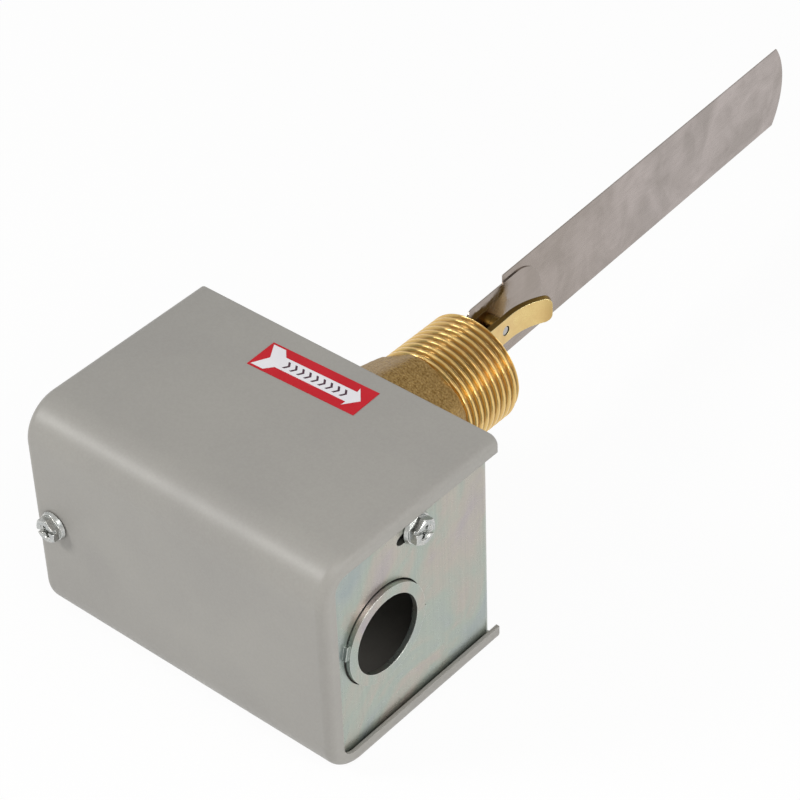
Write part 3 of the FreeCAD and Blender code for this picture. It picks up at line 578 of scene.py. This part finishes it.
def turnedShell(name, rows, steps):  # closed shell from rows of (y, radii); the last row joins the first
    angles = np.arange(steps) * 2 * math.pi / steps
    points = np.concatenate([
        np.stack([radii * np.sin(angles), np.broadcast_to(y, steps), radii * np.cos(angles)], 1)
        for y, radii in rows
    ])
    faces = []
    count = len(rows)
    for row in range(count):
        here, there = row * steps, (row + 1) % count * steps
        for step in range(steps):
            turn = (step + 1) % steps
            faces.append((here + step, here + turn, there + turn, there + step))
    return meshPiece(name, points, faces)


def makeFitting():
    size = pipeFitting
    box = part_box("fitting")
    backEnd, tip = box[0].y, box[1].y
    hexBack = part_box("seat_gasket")[1].y
    steps = size["aroundSteps"]
    angles = np.arange(steps) * 2 * math.pi / steps
    plain = np.ones(steps)
    rows, turned, paintedShade = [], [], []

    # each row's last value is painted shade, from 0 for bare brass to 1 for the root colour
    def row(y, radii, isTurned, depth):
        rows.append((y, radii))
        turned.append(np.full(steps, isTurned))
        paintedShade.append(np.broadcast_to(depth, steps))

    # spigot behind the hexagon
    for y in np.arange(backEnd, hexBack - size["spigotNeck"], size["spigotPitch"] / 10):
        high = threadHeight(y, angles, size["spigotPitch"], size["spigotFlat"])
        ease = min(1.0, (y - backEnd) / mm)
        # painted shade in the spigot thread's roots
        row(y, size["spigotRadius"] - size["spigotDepth"] * (1 - high * ease), 1.0, 1 - high)
    row(hexBack, plain * size["spigotRadius"], 1.0, 0)

    # hexagon, then the neck that tapers to the thread
    neck, neckEnd, chamfer = size["neckStart"], size["neckEnd"], size["hexChamfer"]
    levels = [hexBack, hexBack + chamfer] + list(np.linspace(hexBack + 1.2 * mm, neck, size["hexRows"]))
    levels += list(np.linspace(neck, neckEnd, size["neckRows"])[1:])
    for y in levels:
        share = max(0.0, (y - neck) / (neckEnd - neck))
        across = size["hexAcross"] + (size["neckAcross"] - size["hexAcross"]) * share
        radii = hexRadius(across, angles, size["cornerRound"])
        if y < hexBack + 0.8 * chamfer:
            radii = radii - chamfer
        radii = np.minimum(radii, size["threadRadius"] + 0.5 * mm + neckEnd - y)  # eases corners at the thread
        bumps = [noise.noise(Vector((r * math.sin(a), y, r * math.cos(a))) * size["bumpsPerMetre"])
                 for r, a in zip(radii, angles)]
        row(y, radii + np.array(bumps) * size["castBumps"], 0.0, 0)

    # pipe thread, shallow where it runs out and chamfered at the tip
    for y in np.arange(neckEnd + 0.02 * mm, tip, size["pitch"] / 20):
        high = threadHeight(y, angles, size["pitch"], size["crestFlat"])
        crest = size["threadRadius"] - size["tipTaper"] * y / tip
        crest = min(crest, size["threadRadius"] - size["tipChamfer"] + (tip - y) * size["tipSlope"])
        start = min(1.0, 0.6 + (y - neckEnd) / size["runOut"])
        # painted shade, darkest in the thread's roots
        row(y, crest - size["threadDepth"] * start * (1 - high), 1.0, (1 - high) ** size["shadeCurve"] * start)
    row(tip, plain * (size["threadRadius"] - 1.5 * mm), 1.0, 0)

    # bores, from the tip back, their walls darkened with painted shade
    row(tip, plain * (size["wetBore"] + size["boreChamfer"]), 1.0, 0)
    row(tip - size["boreChamfer"], plain * size["wetBore"], 1.0, 0.2)
    row(size["wetEnd"], plain * size["wetBore"], 1.0, 0.5)
    row(size["wetEnd"], plain * size["dryBore"], 1.0, 0.5)
    row(backEnd, plain * size["dryBore"], 1.0, 0.5)
    piece = turnedShell("fitting_casting", rows, steps)
    for title, values in (("turned", turned), ("paintedShade", paintedShade)):
        layer = piece.data.attributes.new(title, "FLOAT", "POINT")
        layer.data.foreach_set("value", np.concatenate(values).astype(np.float32))
    smoothed(piece, 34)
    dressed(piece, materials["fittingBrass"], "housing", "cast_brass", "fitting")


makeFitting()
print("fitting turned")


# end plate's slot, drawn in to a short crescent beside the screw; millimetres, in the node and as finished
endSlot = {"plateX": 44.0, "y": (-62.0, -48.4), "newY": (-61.0, -51.0), "z": (16.9, 24.3), "newZ": (20.8, 24.2)}


def makeChassis():
    size = endSlot
    mesh = nodes["chassis"].data.copy()
    mesh.name = "chassis_sheet"
    for vertex in mesh.vertices:
        x, y, z = vertex.co / mm
        if x > size["plateX"] and size["y"][0] < y < size["y"][1] and size["z"][0] < z < size["z"][1]:
            vertex.co.y = np.interp(y, size["y"], size["newY"]) * mm
            vertex.co.z = np.interp(z, size["z"], size["newZ"]) * mm
    mesh.update()
    sheet = link(bpy.data.objects.new("chassis_sheet", mesh))
    dressed(sheet, materials["zincPlating"], "housing", "zinc_plate", "chassis")


makeChassis()
print("chassis slot drawn in")


# screws: one Geometry Nodes tree for every screw, set out on the points of a small mesh
def makeScrewTree():
    tree = bpy.data.node_groups.new("slottedScrew", "GeometryNodeTree")
    face = tree.interface
    face.new_socket(name="Places", in_out="INPUT", socket_type="NodeSocketGeometry")
    for title in ("Washer Radius", "Washer Height", "Head Radius", "Head Height", "Chamfer", "Dimple",
                  "Slot Width", "Slot Depth", "Cross Reach", "Shank Radius", "Shank Length",
                  "Thread Pitch", "Spin"):
        face.new_socket(name=title, in_out="INPUT", socket_type="NodeSocketFloat")
    face.new_socket(name="Sides", in_out="INPUT", socket_type="NodeSocketInt")
    face.new_socket(name="Out", in_out="INPUT", socket_type="NodeSocketVector")
    face.new_socket(name="Finish", in_out="INPUT", socket_type="NodeSocketMaterial")
    face.new_socket(name="Screws", in_out="OUTPUT", socket_type="NodeSocketGeometry")
    given = tree.nodes.new("NodeGroupInput").outputs

    def times(first, second):
        return maths(tree, "MULTIPLY", first, second)

    def plus(first, second):
        return maths(tree, "ADD", first, second)

    def upBy(height):
        return addNode(tree, "ShaderNodeCombineXYZ", {"Z": height}).outputs[0]

    def moved(shape, offset):
        return addNode(tree, "GeometryNodeTransform", {"Geometry": shape, "Translation": offset}).outputs[0]

    def cone(sides, topRadius, bottomRadius, depth):
        return addNode(tree, "GeometryNodeMeshCone", {
            "Vertices": sides, "Radius Top": topRadius, "Radius Bottom": bottomRadius, "Depth": depth,
        }).outputs[0]

    def cylinder(sides, radius, depth):
        return addNode(tree, "GeometryNodeMeshCylinder", {
            "Vertices": sides, "Radius": radius, "Depth": depth,
        }).outputs[0]

    # washer and head, the head's corners taken off by a wide cone
    washer = cone(48, times(given["Washer Radius"], 0.9), given["Washer Radius"], given["Washer Height"])
    head = cylinder(given["Sides"], given["Head Radius"], given["Head Height"])
    head = moved(head, upBy(plus(given["Washer Height"], times(given["Head Height"], 0.5))))
    top = plus(given["Washer Height"], given["Head Height"])
    tipRadius = maths(tree, "SUBTRACT", given["Head Radius"], times(given["Chamfer"], 2.0))
    taper = cone(48, tipRadius, plus(tipRadius, times(top, 2.4)), times(top, 1.6))
    taper = moved(taper, upBy(plus(times(top, -0.6), times(given["Chamfer"], 0.667))))
    both = addNode(tree, "GeometryNodeMeshBoolean", {"Mesh 2": head}, operation="INTERSECT", solver="EXACT")
    tree.links.new(taper, both.inputs["Mesh 2"])
    head = both.outputs[0]

    # slot, cross recess and dimple
    def bar(length, width, depth):
        size = addNode(tree, "ShaderNodeCombineXYZ", {"X": length, "Y": width, "Z": depth}).outputs[0]
        return moved(addNode(tree, "GeometryNodeMeshCube", {"Size": size}).outputs[0], upBy(top))

    slot = bar(times(given["Head Radius"], 2.4), given["Slot Width"], times(given["Slot Depth"], 2.0))
    cross, crossWide = times(given["Cross Reach"], 2.0), times(given["Slot Width"], 1.15)
    crossDeep = times(given["Slot Depth"], 3.4)
    dimple = cone(32, times(given["Head Radius"], 0.62), times(given["Head Radius"], 0.50),
                  times(given["Dimple"], 2.0))
    dimple = moved(dimple, upBy(maths(tree, "SUBTRACT", top, given["Dimple"])))
    for cutter in (slot, bar(crossWide, cross, crossDeep), bar(cross, crossWide, crossDeep), dimple):
        head = addNode(tree, "GeometryNodeMeshBoolean", {"Mesh 1": head, "Mesh 2": cutter},
                       operation="DIFFERENCE", solver="EXACT").outputs[0]

    # shank with its thread
    shank = cylinder(24, times(given["Shank Radius"], 0.9), given["Shank Length"])
    shank = moved(shank, upBy(times(given["Shank Length"], -0.5)))
    threaded, ridgeRadius = times(given["Shank Length"], 0.9), times(given["Shank Radius"], 0.88)
    spiral = addNode(tree, "GeometryNodeCurveSpiral", {
        "Resolution": 18, "Rotations": maths(tree, "DIVIDE", threaded, given["Thread Pitch"]),
        "Start Radius": ridgeRadius, "End Radius": ridgeRadius, "Height": threaded,
    }).outputs[0]
    ridge = addNode(tree, "GeometryNodeCurvePrimitiveCircle", {
        "Resolution": 4, "Radius": times(given["Shank Radius"], 0.12),
    }).outputs[0]
    thread = addNode(tree, "GeometryNodeCurveToMesh", {
        "Curve": spiral, "Profile Curve": ridge, "Fill Caps": True,
    }).outputs[0]
    thread = moved(thread, upBy(times(given["Shank Length"], -0.95)))

    # the whole screw, turned, set on its places and made real
    screw = tree.nodes.new("GeometryNodeJoinGeometry")
    for shape in (washer, head, shank, thread):
        tree.links.new(shape, screw.inputs[0])
    spun = addNode(tree, "GeometryNodeTransform", {
        "Geometry": screw.outputs[0], "Translation": (0, 0, 0), "Rotation": upBy(given["Spin"]),
    }).outputs[0]
    aim = addNode(tree, "FunctionNodeAlignRotationToVector", {"Vector": given["Out"]}, axis="Z").outputs[0]
    placed = addNode(tree, "GeometryNodeInstanceOnPoints", {
        "Points": given["Places"], "Instance": spun, "Rotation": aim, "Scale": (mm, mm, mm),
    }).outputs[0]
    real = addNode(tree, "GeometryNodeRealizeInstances", {"Geometry": placed}).outputs[0]
    done = addNode(tree, "GeometryNodeSetMaterial", {"Geometry": real, "Material": given["Finish"]}).outputs[0]
    tree.links.new(done, tree.nodes.new("NodeGroupOutput").inputs[0])
    return tree


screwTree = makeScrewTree()
hexWasherHead = {  # screw sizes are in millimetres
    "Washer Radius": 5.2, "Washer Height": 0.9, "Head Radius": 4.56, "Head Height": 2.6,
    "Chamfer": 0.75, "Dimple": 0.35, "Slot Width": 1.0, "Slot Depth": 0.9, "Cross Reach": 2.1,
    "Shank Radius": 2.0, "Shank Length": 7.0, "Thread Pitch": 0.8, "Sides": 6,
}
cheeseHead = {
    "Washer Radius": 2.0, "Washer Height": 0.02, "Head Radius": 3.4, "Head Height": 2.2,
    "Chamfer": 0.3, "Dimple": 0.05, "Slot Width": 0.8, "Slot Depth": 0.9, "Cross Reach": 0.3,
    "Shank Radius": 1.8, "Shank Length": 4.0, "Thread Pitch": 0.6, "Sides": 32,
}
leverLean = 2.5  # degrees that the lever's pieces lean at rest
leanedBack = Matrix.Rotation(math.radians(leverLean), 3, "Z") @ Vector((-1, 0, 0))
screwKinds = [  # spin in degrees; aside moves a head off its node's place
    {"node": "cover_screw", "body": "cover", "slot": "zinc_screw", "finish": "zincScrew",
     "out": (0, -1, 0), "head": hexWasherHead, "spin": 20,
     "own": {"Washer Radius": 4.2, "Head Radius": 3.6, "Head Height": 2.3, "Chamfer": 0.6, "Cross Reach": 1.8}},
    {"node": "end_screw", "body": "housing", "slot": "zinc_screw", "finish": "zincScrew",
     "out": (1, 0, 0), "head": hexWasherHead, "spin": 62, "aside": (0, -1.9, 2.6),
     "own": {"Shank Length": 9.0, "Washer Radius": 4.6, "Head Radius": 3.9, "Head Height": 2.4,
             "Chamfer": 0.65, "Cross Reach": 1.9}},
    {"node": "ground_screw", "body": "housing", "slot": "green_screw", "finish": "greenScrew",
     "out": (0, -1, 0), "head": hexWasherHead, "spin": 35, "own": {"Shank Length": 2.6}},
    {"node": "bracket_screws", "body": "housing", "slot": "zinc_screw", "finish": "zincScrew",
     "out": (0, -1, 0), "head": cheeseHead, "spin": 40, "own": {"Shank Length": 3.7}},
    {"node": "switch_screws", "body": "housing", "slot": "zinc_screw", "finish": "zincScrew",
     "out": (0, 0, 1), "head": cheeseHead, "spin": 15,
     "own": {"Head Radius": 2.7, "Head Height": 1.8, "Shank Radius": 1.45, "Shank Length": 12.5}},
    {"node": "terminal_screws", "body": "housing", "slot": "terminal_brass", "finish": "terminalBrass",
     "out": (0, 0, 1), "head": cheeseHead, "spin": 70,
     "own": {"Head Radius": 2.8, "Head Height": 2.0, "Shank Radius": 1.6, "Shank Length": 3.5}},
    {"node": "paddle_screws", "body": "lever", "slot": "stainless", "finish": "stainless",
     "out": leanedBack, "head": cheeseHead, "spin": 30,
     "own": {"Head Radius": 2.8, "Head Height": 1.9, "Shank Radius": 1.45, "Shank Length": 5.7}},
]


def looseSolids(node):  # boxes of a CAD node's separate solids, found by walking its merged edges
    mesh = nodes[node].data
    spots = [tuple(round(part, 6) for part in vertex.co) for vertex in mesh.vertices]
    owner = {spot: spot for spot in spots}

    def root(spot):
        while owner[spot] != spot:
            owner[spot] = owner[owner[spot]]
            spot = owner[spot]
        return spot

    for edge in mesh.edges:
        first, second = (root(spots[end]) for end in edge.vertices)
        owner[first] = second
    groups = {}
    for spot in spots:
        groups.setdefault(root(spot), []).append(spot)
    return [(Vector(np.min(group, 0)), Vector(np.max(group, 0))) for group in groups.values()]


def makeScrews(kind):  # each screw's seat is found from its own box and the way it points
    sizes = {**kind["head"], **kind["own"], "Spin": math.radians(kind["spin"])}
    out, finish = Vector(kind["out"]), materials[kind["finish"]]
    tall = sizes["Washer Height"] + sizes["Head Height"]
    places = []
    for low, high in looseSolids(kind["node"]):
        halfLong = abs((high - low).dot(out)) / 2
        seat = (low + high) / 2 + out * (halfLong - tall * mm)
        places.append(seat + Vector(kind.get("aside", (0, 0, 0))) * mm)
    piece = meshPiece(kind["node"] + "_places", places, [])
    modifier = piece.modifiers.new("screws", "NODES")
    modifier.node_group = screwTree
    values = {**sizes, "Out": tuple(out), "Finish": finish}
    for item in screwTree.interface.items_tree:
        if item.in_out == "INPUT" and item.name in values:
            modifier[item.identifier] = values[item.name]
    evaluated = piece.evaluated_get(bpy.context.evaluated_depsgraph_get())
    mesh = bpy.data.meshes.new_from_object(evaluated)
    mesh.name = kind["node"] + "_turned"
    bpy.data.objects.remove(piece)
    screws = smoothed(link(bpy.data.objects.new(mesh.name, mesh)), 30)
    dressed(screws, finish, kind["body"], kind["slot"], kind["node"])


for screwKind in screwKinds:
    makeScrews(screwKind)
print("screws made")


# label: white arrow on the red ground, the middle of its shaft filled with small chevrons
flowArrow = {
    "thick": 0.03 * mm, "turn": 2.0,  # turn in degrees; all below in millimetres
    "outline": [(15.4, 0), (12.2, 3.9), (12.4, 2.3), (-10.6, 2.3), (-12.6, 4.6), (-16.6, 4.6), (-14.0, 0)],
    "chevronCount": 9, "chevronStart": -9.0, "chevronStep": 2.3, "chevronHalf": 1.35,
    "chevronReach": 0.9, "chevronWide": 0.7,
}


def flatPrint(name, shapes, low, middle):  # thin closed plates from outlines in label millimetres
    points, faces = [], []
    thick = flowArrow["thick"]
    spin = Matrix.Rotation(math.radians(flowArrow["turn"]), 3, "Z")
    for shape in shapes:
        start, count = len(points), len(shape)
        for level in (low, low + thick):
            for x, y in shape:
                spot = spin @ Vector((x * mm, y * mm, 0))
                points.append((middle.x + spot.x, middle.y + spot.y, level))
        faces.append([start + index for index in range(count)][::-1])
        faces.append([start + count + index for index in range(count)])
        for index in range(count):
            after = (index + 1) % count
            faces.append([start + index, start + after, start + count + after, start + count + index])
    return meshPiece(name, points, faces)


def makeFlowArrow():
    size = flowArrow
    low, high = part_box("flow_label")
    middle = (low + high) / 2
    upper = size["outline"]
    lower = [(x, -y) for x, y in upper[1:-1]][::-1]
    arrow = flatPrint("flow_arrow", [(upper + lower)[::-1]], high.z, middle)
    dressed(arrow, materials["labelWhite"], "cover", "red_label")
    half, forward, wide = size["chevronHalf"], size["chevronReach"], size["chevronWide"]
    chevrons = []
    for index in range(size["chevronCount"]):
        x = size["chevronStart"] + size["chevronStep"] * index
        chevrons.append([(x, -half), (x + wide, -half), (x + wide + forward, 0), (x + wide, half), (x, half),
                         (x + forward, 0)])
    marks = flatPrint("flow_chevrons", chevrons, high.z + size["thick"], middle)
    dressed(marks, materials["labelInk"], "cover", "red_label")


makeFlowArrow()
print("label printed")


def blended(piece, material, node):  # a piece that reaches from one body to another
    piece.data.materials.append(material)
    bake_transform(piece)
    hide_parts(node)


# bellows: rounded folds between the fitting and the lever
bellowsSizes = {
    "folds": 6, "outer": 9.8 * mm, "inner": 7.3 * mm, "wall": 0.25 * mm, "flangeLong": 1.0 * mm,
    "around": 64, "perFold": 12,
}


def makeBellows():
    size = bellowsSizes
    low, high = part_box("bellows")
    start = low.y + size["flangeLong"]
    fold = (high.y - start) / size["folds"]
    middle = (size["outer"] + size["inner"]) / 2
    swing = (size["outer"] - size["inner"]) / 2
    flange = (high.x - low.x) / 2
    wave = []
    for index in range(size["folds"] * size["perFold"] + 1):
        y = start + fold * index / size["perFold"]
        wave.append((y, middle - swing * math.cos(2 * math.pi * index / size["perFold"])))
    inside = [(y, radius - size["wall"]) for y, radius in wave][::-1]
    inside.append((low.y, inside[-1][1]))
    ones = np.ones(size["around"])
    rows = [(y, ones * radius) for y, radius in [(low.y, flange), (start, flange)] + wave + inside]
    piece = smoothed(turnedShell("bellows_folds", rows, size["around"]), 50)
    blended(piece, materials["bronze"],
            "bellows")


# range spring: a wound coil with closed ends, in two halves that meet at the middle
rangeSpring = {"wire": 0.4 * mm, "turns": 9, "perTurn": 28, "aroundWire": 10, "closedLead": 2.2}


def coilPiece(name, low, high, shares):  # the coil between two shares of its length, closed at both ends
    size = rangeSpring
    radius = (high.z - low.z) / 2 - size["wire"]
    middle = (low + high) / 2
    length = high.x - low.x - 2 * size["wire"]
    closed = 1 / size["turns"]
    lead = size["closedLead"] * size["wire"] / length
    steps = int(size["turns"] * size["perTurn"] * (shares[1] - shares[0]))
    around = size["aroundWire"]
    points, faces = [], []
    for step in range(steps + 1):
        share = shares[0] + (shares[1] - shares[0]) * step / steps
        rise = np.interp(share, [0, closed, 1 - closed, 1], [0, lead, 1 - lead, 1])
        angle = 2 * math.pi * size["turns"] * share
        out = Vector((0, math.cos(angle), math.sin(angle)))
        centre = Vector((low.x + size["wire"] + length * rise, middle.y, middle.z)) + out * radius
        for index in range(around):
            turn = 2 * math.pi * index / around
            points.append(centre + (out * math.cos(turn) + Vector((1, 0, 0)) * math.sin(turn)) * size["wire"])
    for step in range(steps):
        here, there = step * around, (step + 1) * around
        for index in range(around):
            after = (index + 1) % around
            faces.append((here + index, there + index, there + after, here + after))
    faces.append(tuple(range(around)))
    faces.append(tuple(range(steps * around, (steps + 1) * around))[::-1])
    return smoothed(meshPiece(name, points, faces), 50)


def makeRangeSpring():
    low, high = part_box("range_spring")
    middle = (low + high) / 2
    nutEnd, cupEnd = (low.x, middle.y, middle.z), (high.x, middle.y, middle.z)
    halves = [
        ("range_spring_nut_half", (0.0, 0.5), ("spring_carrier", "housing"), (nutEnd, middle)),
        ("range_spring_cup_half", (0.5, 1.0), ("housing", "lever"), (middle, cupEnd)),
    ]
    for name, shares, bodies, ends in halves:
        piece = coilPiece(name, low, high, shares)
        blended(piece, materials["springSteel"], "range_spring")


makeBellows()
makeRangeSpring()
print("bellows and spring made")

bpy.context.scene.view_settings.view_transform = "Standard"
